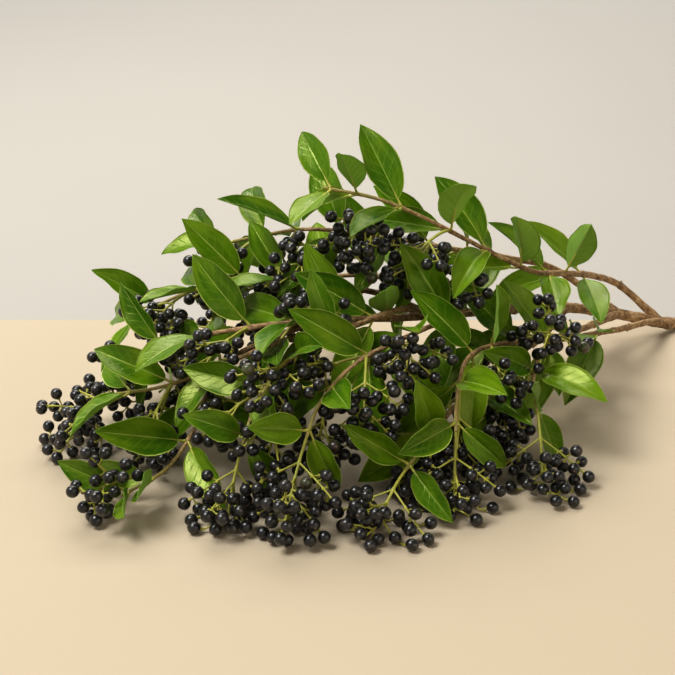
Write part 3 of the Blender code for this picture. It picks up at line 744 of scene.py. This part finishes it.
def add_berry(shape, stalks, berry, number):
    """A berry, its small rim and its own short stalk."""
    rng = random.Random(90000 + number)
    way = unit(berry.centre - berry.foot)
    first = unit(np.cross(way, (0.31, 0.87, 0.38)))
    second = np.cross(way, first)
    angles = angles_round(BERRY_SIDES) + rng.uniform(0, math.pi)
    size = rng.uniform(0.95, 1.03)
    oval = 1 + 0.03 * np.cos(2 * angles)
    rings = (BERRY_RADII[:, None] * oval)[..., None] * circle(first, second, angles)[None] * size
    points = rings + (BERRY_HEIGHTS * size)[:, None, None] * way + berry.centre
    keep_above(points, 0.05)
    ripe = 1.0 if rng.random() > UNRIPE else rng.uniform(0.2, 0.7)
    shape.add(
        points, grid_faces(len(BERRY_RADII), BERRY_SIDES, wrap=True),
        across=np.tile(np.cos(angles), len(BERRY_RADII)), along=np.repeat(BERRY_HEIGHTS / 4, BERRY_SIDES),
        tint=rng.random(), age=ripe,
    )
    top = berry.centre - way * BERRY_FOOT * size
    middle = (berry.foot + top) / 2 + np.array([rng.uniform(-0.3, 0.3), rng.uniform(-0.3, 0.3), -0.25])
    line = smooth([berry.foot, middle, top], 1.1)
    if len(line) < 4:
        line = np.array([berry.foot * (1 - k) + top * k for k in (0, 0.33, 0.67, 1)])
    radii = np.full(len(line), 0.46)
    radii[[0, -2, -1]] = (0.62, 0.62, 1.0)
    add_tube(stalks, line, radii, 6, rng.uniform(0.0, 0.35), tint=rng.random())
    add_tube(stalks, top + way * RIM_STEPS, RIM_RADII, 8, 0.55, tint=rng.random())


def add_stalks(shape, spray):
    """The spray's own stalk and its branchlets, with a swelling wherever something leaves them."""
    rng = np.random.default_rng(60 + spray.number)
    line = spray.line
    radii = np.linspace(1.0 if spray.form is END_SPRAY else 1.05, 0.62, len(line))
    at = np.arange(len(line))
    for branchlet in spray.branchlets:
        index = lengths(line - branchlet.line[0]).argmin()
        radii = radii * (1 + 0.22 * hump(at, index, 0.7))
    if spray.seat:
        radii = radii + 0.5 * np.exp(-at / 2.0)
    bumps = noise_along(rng, len(line), STALK_SIDES, 0.05, 2)
    age = np.linspace(0.35, 0.05, len(line))
    add_tube(shape, line, radii, STALK_SIDES, age, tint=rng.random(), bumps=bumps)
    for branchlet in spray.branchlets:
        if len(branchlet.line) < 3:
            continue
        fine = smooth(branchlet.line, 1.6)
        radii = np.linspace(0.68, 0.52, len(fine))
        radii[:2] = (0.95, 0.8)
        near = np.arange(len(fine))
        for berry in branchlet.berries[1:]:
            index = lengths(fine - berry.foot).argmin()
            radii = radii * (1 + 0.3 * hump(near, index, 0.6))
        add_tube(shape, fine, radii, 7, rng.uniform(0.0, 0.25), tint=rng.random())


# Materials. Colours are linear, and the scales of the patterns are counted in a metre.

class Graph:
    """The nodes of a material or of the world."""

    def __init__(self, owner):
        owner.use_nodes = True
        self.owner = owner
        self.nodes = owner.node_tree.nodes

    def put(self, socket, value):
        if isinstance(value, bpy.types.NodeSocket):
            self.owner.node_tree.links.new(value, socket)
        else:
            socket.default_value = value

    def fill(self, node, **inputs):
        """Sets inputs of the node by their names, with _ for a space."""
        for name, value in inputs.items():
            self.put(node.inputs[name.replace("_", " ")], value)
        return node

    def node(self, kind, **inputs):
        return self.fill(self.nodes.new("ShaderNode" + kind), **inputs)

    def surface(self, **inputs):
        self.fill(self.nodes["Principled BSDF"], **inputs)
        return self.owner

    def blended(self, share, other):
        """The surface, with a share of another shader in it, as what the material shows."""
        mix = self.node("MixShader", Fac=share)
        self.put(mix.inputs[1], self.nodes["Principled BSDF"].outputs[0])
        self.put(mix.inputs[2], other.outputs[0])
        self.fill(self.nodes["Material Output"], Surface=mix.outputs[0])
        return self.owner

    def value(self, name):
        node = self.node("Attribute")
        node.attribute_name = name
        return node.outputs["Fac"]

    def place(self, kind="Object"):
        return self.node("TexCoord").outputs[kind]

    def math(self, operation, *values):
        node = self.node("Math")
        node.operation = operation
        for socket, value in zip(node.inputs, values):
            self.put(socket, value)
        return node.outputs[0]

    def times(self, a, b):
        return self.math("MULTIPLY", a, b)

    def plus(self, a, b):
        return self.math("ADD", a, b)

    def minus(self, a, b):
        return self.math("SUBTRACT", a, b)

    def ramp(self, factor, *stops):
        node = self.node("ValToRGB", Fac=factor)
        elements = node.color_ramp.elements
        for element, (position, color) in zip(elements, (stops[0], stops[-1])):
            element.position = position
            element.color = (*color, 1)
        for position, color in stops[1:-1]:
            elements.new(position).color = (*color, 1)
        return node.outputs[0]

    def mix(self, share, a, b):
        node = self.node("Mix")
        node.data_type = "RGBA"
        for index, value in ((0, share), (6, a), (7, b)):
            self.put(node.inputs[index], (*value, 1) if isinstance(value, tuple) else value)
        return node.outputs[2]

    def layers(self, base, *layers):
        """The base with colours over it, each as (colour, mask, how much of it shows where the mask is 1)."""
        for color, mask, share in layers:
            base = self.mix(self.times(mask, share), base, color)
        return base

    def spread(self, value, low, high, to_low=0.0, to_high=1.0):
        """The value brought smoothly from one range to another."""
        node = self.node("MapRange")
        node.interpolation_type = "SMOOTHSTEP"
        for socket, number in zip(node.inputs, (value, low, high, to_low, to_high)):
            self.put(socket, number)
        return node.outputs[0]

    def noise(self, scale, detail=3.0, roughness=0.55):
        node = self.node("TexNoise", Vector=self.place(), Scale=scale, Detail=detail, Roughness=roughness)
        return node.outputs["Fac"]

    def streaks(self, across, along):
        """Noise drawn out down each blade or stem, and different from one to the next."""
        place = self.node(
            "CombineXYZ", X=self.times(self.value("across"), across),
            Y=self.times(self.value("along"), along), Z=self.times(self.value("tint"), 90.0),
        )
        return self.node("TexNoise", Vector=place.outputs[0], Scale=1.0, Detail=3.0).outputs["Fac"]

    def bump(self, height, strength, distance):
        return self.node("Bump", Strength=strength, Distance=distance, Height=height).outputs[0]


def material_graph(name):
    return Graph(bpy.data.materials.new(name))


def veins(g):
    """(midrib, side veins, margin), each from 0 to 1, over a blade."""
    across = g.math("ABSOLUTE", g.value("across"))
    midrib = g.spread(across, 0.01, 0.042, 1.0, 0.0)
    wobble = g.times(g.minus(g.noise(220, 2), 0.5), 0.35)
    slant = g.times(g.math("POWER", across, 0.8), 1.7)
    count = g.minus(g.times(g.value("along"), VEIN_PAIRS), slant)
    near = g.math("ABSOLUTE", g.minus(g.math("FRACT", g.plus(count, wobble)), 0.5))
    lines = g.times(g.spread(near, 0.36, 0.49), g.spread(across, 0.55, 0.95, 1.0, 0.0))
    return midrib, lines, g.spread(across, 0.93, 0.975)


def upper_color(g, midrib, lines, margin, patches, streaks):
    deep, middle, bright = (0.022, 0.082, 0.002), (0.052, 0.148, 0.002), (0.15, 0.262, 0.004)
    return g.layers(
        g.ramp(g.value("tint"), (0.0, deep), (0.45, middle), (1.0, bright)),
        ((0.165, 0.262, 0.005), g.spread(patches, 0.35, 0.7), 0.45),  # light patches
        ((0.205, 0.30, 0.008), g.spread(streaks, 0.48, 0.72), 0.38),  # light streaks: the blade's own streaky tone, and partly a painted sheen
        ((0.01, 0.05, 0.002), g.spread(streaks, 0.52, 0.3), 0.42),  # painted shade: darker streaks down the blade, as where a folded half lies in shade
        ((0.19, 0.33, 0.028), g.value("age"), 1.0),  # young leaves
        ((0.17, 0.3, 0.02), lines, 0.3),  # side veins
        ((0.34, 0.44, 0.08), midrib, 0.75),
        ((0.16, 0.15, 0.02), g.spread(g.noise(130, 2), 0.7, 0.78), 0.45),  # brown flecks
        ((0.56, 0.64, 0.13), margin, 0.92),
    )


def under_color(g, midrib, lines):
    base = g.ramp(g.value("tint"), (0.0, (0.17, 0.325, 0.045)), (1.0, (0.26, 0.425, 0.07)))
    return g.layers(base, ((0.42, 0.48, 0.15), midrib, 0.85), ((0.36, 0.48, 0.15), lines, 0.45))


def leaf_material(name, under):
    """A leathery leaf: glossy above and dull below, with light that shines through it."""
    g = material_graph(name)
    midrib, lines, margin = veins(g)
    patches = g.noise(45, 4)
    fine = g.noise(900, 3)
    streaks = g.streaks(2.6, 1.8)
    if under:
        base = under_color(g, midrib, lines)
        through, dull, specular, vein_height = (0.42, 0.6, 0.03), 0.52, 0.2, 0.7
    else:
        base = upper_color(g, midrib, lines, margin, patches, streaks)
        through, dull, specular, vein_height = (0.34, 0.56, 0.006), 0.16, 0.6, -0.45
    rough = g.plus(g.times(g.plus(fine, patches), 0.12), dull)
    rough = g.plus(rough, g.times(g.minus(streaks, 0.5), 0.4))
    height = g.plus(g.times(lines, vein_height), g.times(fine, 0.3))
    height = g.plus(height, g.times(g.noise(260, 3), 0.25))
    height = g.plus(height, g.times(streaks, 2.0))
    g.surface(
        Base_Color=base, Roughness=rough, Specular_IOR_Level=specular, Specular_Tint=(0.95, 1.0, 0.32, 1),
        Normal=g.bump(height, 0.55, 0.00032),
    )
    return g.blended(0.26, g.node("BsdfTranslucent", Color=(*through, 1)))


def stalk_material(name):
    """Yellow-green stalks, browner where they are older, and blotched."""
    g = material_graph(name)
    base = g.layers(
        g.ramp(g.value("tint"), (0.0, (0.27, 0.285, 0.03)), (1.0, (0.41, 0.39, 0.055))),
        ((0.21, 0.13, 0.04), g.spread(g.value("age"), 0.2, 0.9), 0.75),
        ((0.22, 0.15, 0.04), g.spread(g.noise(420, 4), 0.55, 0.75), 0.45),
    )
    return g.surface(
        Base_Color=base, Roughness=0.52, Normal=g.bump(g.noise(1500, 3), 0.35, 0.0002),
        Subsurface_Weight=0.08, Subsurface_Radius=(0.0012, 0.0012, 0.0004),
    )


def bark_material(name):
    """Green bark that turns grey-brown with age, with pale lenticels, fine cracks and streaked markings."""
    g = material_graph(name)
    dark, brown, pale = (0.075, 0.036, 0.012), (0.27, 0.15, 0.056), (0.55, 0.38, 0.19)
    age = g.value("age")
    patches = g.noise(120, 5, 0.6)
    cracks = g.noise(900, 4, 0.65)
    green = g.mix(g.value("tint"), (0.23, 0.21, 0.034), (0.31, 0.27, 0.056))
    mottle = g.plus(g.times(patches, 0.35), g.times(g.noise(420, 4, 0.6), 0.3))
    mottle = g.plus(mottle, g.times(g.streaks(3.5, 0.16), 0.35))
    turn = g.spread(g.plus(age, g.times(g.minus(patches, 0.5), 0.6)), 0.12, 0.62)
    dots = g.node("TexVoronoi", Vector=g.place(), Scale=430.0, Randomness=1.0)
    lenticels = g.times(g.spread(dots.outputs["Distance"], 0.16, 0.26, 1.0, 0.0), g.spread(age, 0.1, 0.4))
    base = g.layers(
        g.mix(turn, green, g.ramp(mottle, (0.38, dark), (0.5, brown), (0.62, pale))),
        ((0.05, 0.026, 0.012), g.spread(cracks, 0.55, 0.7), 0.6), ((0.46, 0.36, 0.22), lenticels, 0.7),
    )
    height = g.plus(g.plus(g.times(lenticels, 0.8), g.times(cracks, -0.7)), g.times(patches, 0.8))
    rough = g.spread(age, 0.0, 0.6, 0.5, 0.78)
    return g.surface(Base_Color=base, Roughness=rough, Normal=g.bump(height, 0.9, 0.0009))


def berry_material(name):
    """Near-black skin under a thin uneven bloom. A few berries are still green or purple."""
    g = material_graph(name)
    darkest, dark, lighter = (0.0014, 0.0014, 0.0016), (0.0028, 0.0027, 0.003), (0.0075, 0.0062, 0.0064)
    green, purple = (0.07, 0.09, 0.02), (0.07, 0.022, 0.03)
    tint = g.value("tint")
    cloud = g.noise(170, 4, 0.6)
    fine = g.noise(1400, 3)
    worn = g.spread(g.noise(330, 3), 0.6, 0.72)
    ripe = g.layers(
        g.ramp(tint, (0.0, darkest), (0.6, dark), (1.0, lighter)),
        ((0.10, 0.092, 0.092), g.spread(cloud, 0.36, 0.72), g.plus(g.times(tint, 0.095), 0.022)),  # bloom
        ((0.085, 0.058, 0.04), worn, g.spread(tint, 0.55, 1.0, 0.05, 0.55)),
    )
    base = g.mix(g.spread(g.value("age"), 0.1, 0.95), g.mix(g.spread(cloud, 0.4, 0.65), green, purple), ripe)
    tip = g.spread(g.value("along"), 0.955, 1.0)
    rough = g.plus(g.times(cloud, 0.26), g.times(fine, 0.08))
    return g.surface(
        Base_Color=g.layers(base, ((0.085, 0.06, 0.04), tip, 0.75)), Roughness=g.plus(rough, 0.18),
        Coat_Weight=0.36, Coat_Roughness=0.16, Specular_IOR_Level=0.4,
        Normal=g.bump(g.plus(fine, g.times(cloud, 3.0)), 0.25, 0.0002),
    )


def cut_material(name):
    """The pale cut wood, with faint rings, a small pith and a rim of bark."""
    g = material_graph(name)
    far = g.value("across")
    rings = g.math("SINE", g.times(g.plus(far, g.times(g.noise(300, 2), 0.12)), 26.0))
    base = g.layers(
        g.mix(g.spread(rings, -0.6, 0.9, 0.0, 0.5), (0.5, 0.36, 0.19), (0.36, 0.23, 0.11)),
        ((0.2, 0.12, 0.06), g.spread(far, 0.1, 0.17, 1.0, 0.0), 1.0),
        ((0.13, 0.085, 0.045), g.spread(far, 0.84, 0.93), 1.0),
    )
    return g.surface(Base_Color=base, Roughness=0.8, Normal=g.bump(g.noise(1800, 3), 0.5, 0.0003))


HAZE, HAZE_COLOR = 0.64, (1.0, 0.95, 0.865, 1)  # the surroundings' brightness and colour low down, which the floors also give off as a painted glow far from the branch
HAZE_STARTS, HAZE_ENDS = 1.2, 2.8  # metres from the branch, where the floors' painted glow begins and where it has taken over


def plain_material(name, color, roughness):
    """A plain surface that turns, far from the branch, into a flat painted glow in the pale surroundings'
    colour.
    """
    g = material_graph(name)
    base = g.mix(g.noise(3.0, 3), color, tuple(c * 0.965 for c in color))
    g.surface(Base_Color=base, Roughness=roughness, Specular_IOR_Level=0.12)
    far = g.node("VectorMath", Vector=g.place())
    far.operation = "LENGTH"
    # painted glow: far off, the surface gives off light of its own, though it is no lamp
    painted_glow = g.node("Emission", Color=HAZE_COLOR, Strength=HAZE)
    return g.blended(g.spread(far.outputs["Value"], HAZE_STARTS, HAZE_ENDS), painted_glow)


# The branch

# The rings of points on the cut end: how far out each is, as a share, and how far it stands proud.
CUT_STEPS = np.array([0.02, 0.15, 0.4, 0.65, 0.85, 0.95, 1.0])
CUT_RISE = np.array([0.35, 0.35, 0.32, 0.3, 0.3, 0.2, -0.3])


def add_cut_end(shape, stem):
    """Rings of points across the wood's cut end."""
    heading = unit(stem.line[0] - stem.line[2])
    first, second = frames_along(stem.line)
    ring = circle(first[0], second[0], angles_round(MAIN_SIDES))
    points = stem.line[0] + (CUT_STEPS[:, None] * stem.radii[0] * 0.985)[..., None] * ring[None]
    points = points + heading * CUT_RISE[:, None, None]
    keep_above(points)
    faces = grid_faces(len(CUT_STEPS), MAIN_SIDES, wrap=True) + [tuple(range(MAIN_SIDES))[::-1]]
    shape.add(points, faces, across=np.repeat(CUT_STEPS, MAIN_SIDES))


def dress(stems):
    leaf_looks = [
        leaf_material("leaf upper face", under=False), leaf_material("leaf underside", under=True),
        stalk_material("petiole"),
    ]
    bark = bark_material("bark")
    stalk = stalk_material("stalk")
    skin = berry_material("berry skin")
    leaf_number = berry_number = 0
    for stem in stems.values():
        wood = Shape()
        add_wood(wood, stem)
        add_buds(wood, stem)
        for points in wood.points:
            keep_above(points)
        wood.finish(f"{stem.name}_wood", [bark], stem.name, "bark")
        if stem.name == "main_stem":
            end = Shape()
            add_cut_end(end, stem)
            end.finish("main_stem_cut_end", [cut_material("cut wood")], stem.name, "bark")
        if stem.leaves:
            leaves = Shape()
            for leaf in stem.leaves:
                add_leaf(leaves, leaf, leaf_number)
                leaf_number += 1
            leaves.finish(f"{stem.name}_leaves", leaf_looks, stem.name, "leaf")
        for spray in stem.sprays:
            stalks, fruit = Shape(), Shape()
            add_stalks(stalks, spray)
            for branchlet in spray.branchlets:
                for berry in branchlet.berries:
                    add_berry(fruit, stalks, berry, berry_number)
                    berry_number += 1
            stalks.finish(f"{spray.name}_stalks", [stalk], spray.name, "leaf")
            fruit.finish(f"{spray.name}_fruit", [skin], spray.name, "berry")


# The studio. Its places are in metres: across and deep as the camera looks, and high over the floor.

EYE = (np.array([-448.5, -776.8, 460.0]) - BOX_CENTRE) * MM
PITCH = 23.0  # how far down the camera looks
TURN = math.radians(-30)
RIGHT = np.array([math.cos(TURN), math.sin(TURN)])
DEEP = np.array([math.sin(-TURN), math.cos(-TURN)])
FLOOR_EDGE = 1.12  # from the camera to the floor's far edge
SHEET_WIDTH, SHEET_DEPTH = 10.0, 4.0
FLOOR_COLOR, BEYOND_COLOR = (0.455, 0.378, 0.272), (0.383, 0.36, 0.325)

# Each light: its place, what it faces, its width and height, its power in watts and its colour.
LIGHTS = {
    "window": ((-1.35, -0.6, 2.4), (0, 0, 0.05), (1.2, 1.2), 92, (0.99, 0.995, 0.995)),
    "overhead": ((-0.3, 0.75, 1.35), (0, 0, 0.05), (1.1, 0.8), 15, (1.0, 0.96, 0.88)),
    "fill": ((0.9, -1.2, 0.8), (0, 0, 0.08), (1.2, 1.0), 6.5, (1.0, 0.9, 0.74)),
    "far light": ((0.15, 2.3, 2.2), (0.15, 3.3, 0), (2.8, 0.7), 88, (1.0, 0.99, 0.985)),
}


def spot(across, deep, high):
    return Vector((*(DEEP * deep + RIGHT * across), high))


def area_light(name, place, target, size, power, color):
    light = bpy.data.lights.new(name, "AREA")
    light.shape = "RECTANGLE"
    light.size, light.size_y = size
    light.energy = power
    light.color = color
    obj = new_object(name, light)
    obj.location = place
    obj.rotation_euler = (target - place).to_track_quat("-Z", "Y").to_euler()


def add_sheet(name, material, depth):
    """A flat sheet from the floor's far edge: towards the camera, or away from it."""
    edge = EYE[:2] + DEEP * FLOOR_EDGE
    half = SHEET_WIDTH / 2
    places = [edge + DEEP * deep + RIGHT * across for deep, across in (
        (0, -half), (0, half), (depth, half), (depth, -half),
    )]
    mesh = bpy.data.meshes.new(name)
    mesh.from_pydata([(*place, 0) for place in places], [], [(0, 1, 2, 3)])
    mesh.materials.append(material)
    obj = new_object(name, mesh)


def add_world():
    """Surroundings that are pale low down, as bright as the floors' painted glow far off, and dim overhead.
    """
    g = Graph(bpy.data.worlds.new("studio"))
    height = g.node("SeparateXYZ", Vector=g.place("Generated")).outputs["Z"]
    strength = g.spread(height, 0.3, 0.75, HAZE, 0.1)
    g.fill(g.nodes["Background"], Color=HAZE_COLOR, Strength=strength)
    scene.world = g.owner


def set_studio():
    """A pale floor in front of a pale surface, in soft light from the upper left."""
    add_sheet("table", plain_material("pale table", FLOOR_COLOR, 0.6), -SHEET_DEPTH)
    beyond = plain_material("pale surface behind the table", BEYOND_COLOR, 0.8)
    add_sheet("behind_the_table", beyond, SHEET_DEPTH)
    for name, (place, target, size, power, color) in LIGHTS.items():
        area_light(name, spot(*place), spot(*target), size, power, color)
    add_world()


def set_camera():
    camera = bpy.data.cameras.new("camera")
    camera.lens = 80
    camera.sensor_width = 36
    obj = new_object("camera", camera)
    obj.location = EYE
    obj.rotation_euler = (math.radians(90 - PITCH), 0, TURN)
    scene.camera = obj


scene.view_settings.view_transform = "Standard"
scene.view_settings.gamma = 0.92
dress(grow_branch())
set_studio()
set_camera()
